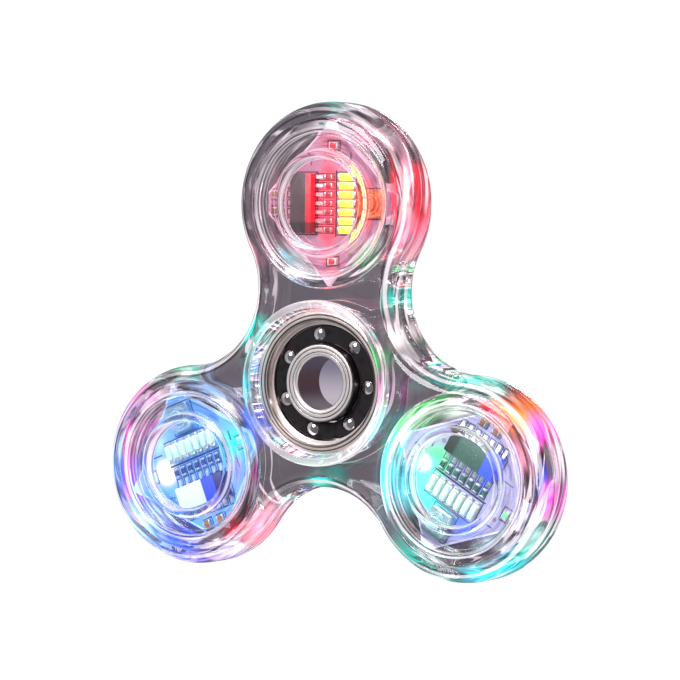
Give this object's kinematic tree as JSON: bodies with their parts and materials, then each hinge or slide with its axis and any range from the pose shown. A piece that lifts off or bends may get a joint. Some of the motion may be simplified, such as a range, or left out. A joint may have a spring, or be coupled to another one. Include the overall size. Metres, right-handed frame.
{
  "type": "hand spinner",
  "caption": "Clear lobed light-up hand spinner turning on an open ball bearing, with a lit circuit module under a push-button lens in every lobe.",
  "frame": {"origin": "centre of the ball bearing, halfway along its bore", "axes": "+Z out of the front face along the bearing axis, +Y towards one lobe"},
  "size_m": [0.0788, 0.0724, 0.0114],
  "materials": {
    "bearing_steel": "ground and polished",
    "ball_steel": "polished",
    "cage_plastic": "moulded",
    "clear_body": "clear, polished",
    "clear_cap": "clear, polished",
    "clear_cover": "clear",
    "board": "white solder mask",
    "chip": "moulded epoxy",
    "solder": "tinned",
    "resistor": "matt",
    "lamp": "moulded lens",
    "lamp_small": "moulded lens",
    "capacitor": "matt",
    "switch_copper": "stamped",
    "plunger": "moulded",
    "contact_brass": "stamped",
    "cell_steel": "nickel plated"
  },
  "bodies": {
    "inner_ring": {"inner_race": "bearing_steel"},
    "rotor": {"spinner_body": "clear_body", "outer_race": "bearing_steel", "circuit_board_top": "board", "controller_chip_top": "chip", "chip_leads_top": "solder", "resistor_row_top": "resistor", "lamp_row_top": "lamp", "corner_lamps_top": "lamp_small", "capacitor_pair_top": "capacitor", "mode_switch_top": "switch_copper", "contact_plate_top": "contact_brass", "button_cells_top": "cell_steel", "back_cover_top": "clear_cover", "circuit_board_left": "board", "controller_chip_left": "chip", "chip_leads_left": "solder", "resistor_row_left": "resistor", "lamp_row_left": "lamp", "corner_lamps_left": "lamp_small", "capacitor_pair_left": "capacitor", "mode_switch_left": "switch_copper", "contact_plate_left": "contact_brass", "button_cells_left": "cell_steel", "back_cover_left": "clear_cover", "circuit_board_right": "board", "controller_chip_right": "chip", "chip_leads_right": "solder", "resistor_row_right": "resistor", "lamp_row_right": "lamp", "corner_lamps_right": "lamp_small", "capacitor_pair_right": "capacitor", "mode_switch_right": "switch_copper", "contact_plate_right": "contact_brass", "button_cells_right": "cell_steel", "back_cover_right": "clear_cover"},
    "cage": {"ball_cage": "cage_plastic"},
    "rolling_ball_1": {"ball_1": "ball_steel"},
    "rolling_ball_2": {"ball_2": "ball_steel"},
    "rolling_ball_3": {"ball_3": "ball_steel"},
    "rolling_ball_4": {"ball_4": "ball_steel"},
    "rolling_ball_5": {"ball_5": "ball_steel"},
    "rolling_ball_6": {"ball_6": "ball_steel"},
    "rolling_ball_7": {"ball_7": "ball_steel"},
    "cap_top": {"lens_cap_top": "clear_cap"},
    "plunger_top": {"switch_plunger_top": "plunger"},
    "cap_left": {"lens_cap_left": "clear_cap"},
    "plunger_left": {"switch_plunger_left": "plunger"},
    "cap_right": {"lens_cap_right": "clear_cap"},
    "plunger_right": {"switch_plunger_right": "plunger"}
  },
  "joints": [
    {"name": "spin", "type": "hinge", "parent": "inner_ring", "child": "rotor", "pos_m": [0, 0, 0], "axis": [0, 0, 1], "continuous": true},
    {"name": "cage_spin", "type": "hinge", "parent": "inner_ring", "child": "cage", "pos_m": [0, 0, 0], "axis": [0, 0, 1], "continuous": true},
    {"name": "ball_1_roll", "type": "hinge", "parent": "cage", "child": "rolling_ball_1", "pos_m": [0.00748, -0.00052, 0], "axis": [0, 0, 1], "continuous": true},
    {"name": "ball_2_roll", "type": "hinge", "parent": "cage", "child": "rolling_ball_2", "pos_m": [0.00507, 0.00552, 0], "axis": [0, 0, 1], "continuous": true},
    {"name": "ball_3_roll", "type": "hinge", "parent": "cage", "child": "rolling_ball_3", "pos_m": [-0.00115, 0.00741, 0], "axis": [0, 0, 1], "continuous": true},
    {"name": "ball_4_roll", "type": "hinge", "parent": "cage", "child": "rolling_ball_4", "pos_m": [-0.00651, 0.00372, 0], "axis": [0, 0, 1], "continuous": true},
    {"name": "ball_5_roll", "type": "hinge", "parent": "cage", "child": "rolling_ball_5", "pos_m": [-0.00697, -0.00277, 0], "axis": [0, 0, 1], "continuous": true},
    {"name": "ball_6_roll", "type": "hinge", "parent": "cage", "child": "rolling_ball_6", "pos_m": [-0.00217, -0.00718, 0], "axis": [0, 0, 1], "continuous": true},
    {"name": "ball_7_roll", "type": "hinge", "parent": "cage", "child": "rolling_ball_7", "pos_m": [0.00426, -0.00618, 0], "axis": [0, 0, 1], "continuous": true},
    {"name": "press_top", "type": "slide", "parent": "rotor", "child": "cap_top", "axis": [0, 0, -1], "range_m": [0, 0.0003], "stiffness_N_per_m": 4000},
    {"name": "plunge_top", "type": "slide", "parent": "rotor", "child": "plunger_top", "axis": [0, 0, -1], "range_m": [0, 0.0003]},
    {"name": "press_left", "type": "slide", "parent": "rotor", "child": "cap_left", "axis": [0, 0, -1], "range_m": [0, 0.0003], "stiffness_N_per_m": 4000},
    {"name": "plunge_left", "type": "slide", "parent": "rotor", "child": "plunger_left", "axis": [0, 0, -1], "range_m": [0, 0.0003]},
    {"name": "press_right", "type": "slide", "parent": "rotor", "child": "cap_right", "axis": [0, 0, -1], "range_m": [0, 0.0003], "stiffness_N_per_m": 4000},
    {"name": "plunge_right", "type": "slide", "parent": "rotor", "child": "plunger_right", "axis": [0, 0, -1], "range_m": [0, 0.0003]}
  ],
  "couplings": [
    {"joint": "cage_spin", "follows": "spin", "ratio": 0.63233},
    {"joint": "ball_1_roll", "follows": "spin", "ratio": 1.7568},
    {"joint": "ball_2_roll", "follows": "spin", "ratio": 1.7568},
    {"joint": "ball_3_roll", "follows": "spin", "ratio": 1.7568},
    {"joint": "ball_4_roll", "follows": "spin", "ratio": 1.7568},
    {"joint": "ball_5_roll", "follows": "spin", "ratio": 1.7568},
    {"joint": "ball_6_roll", "follows": "spin", "ratio": 1.7568},
    {"joint": "ball_7_roll", "follows": "spin", "ratio": 1.7568},
    {"joint": "plunge_top", "follows": "press_top", "ratio": 1},
    {"joint": "plunge_left", "follows": "press_left", "ratio": 1},
    {"joint": "plunge_right", "follows": "press_right", "ratio": 1}
  ]
}
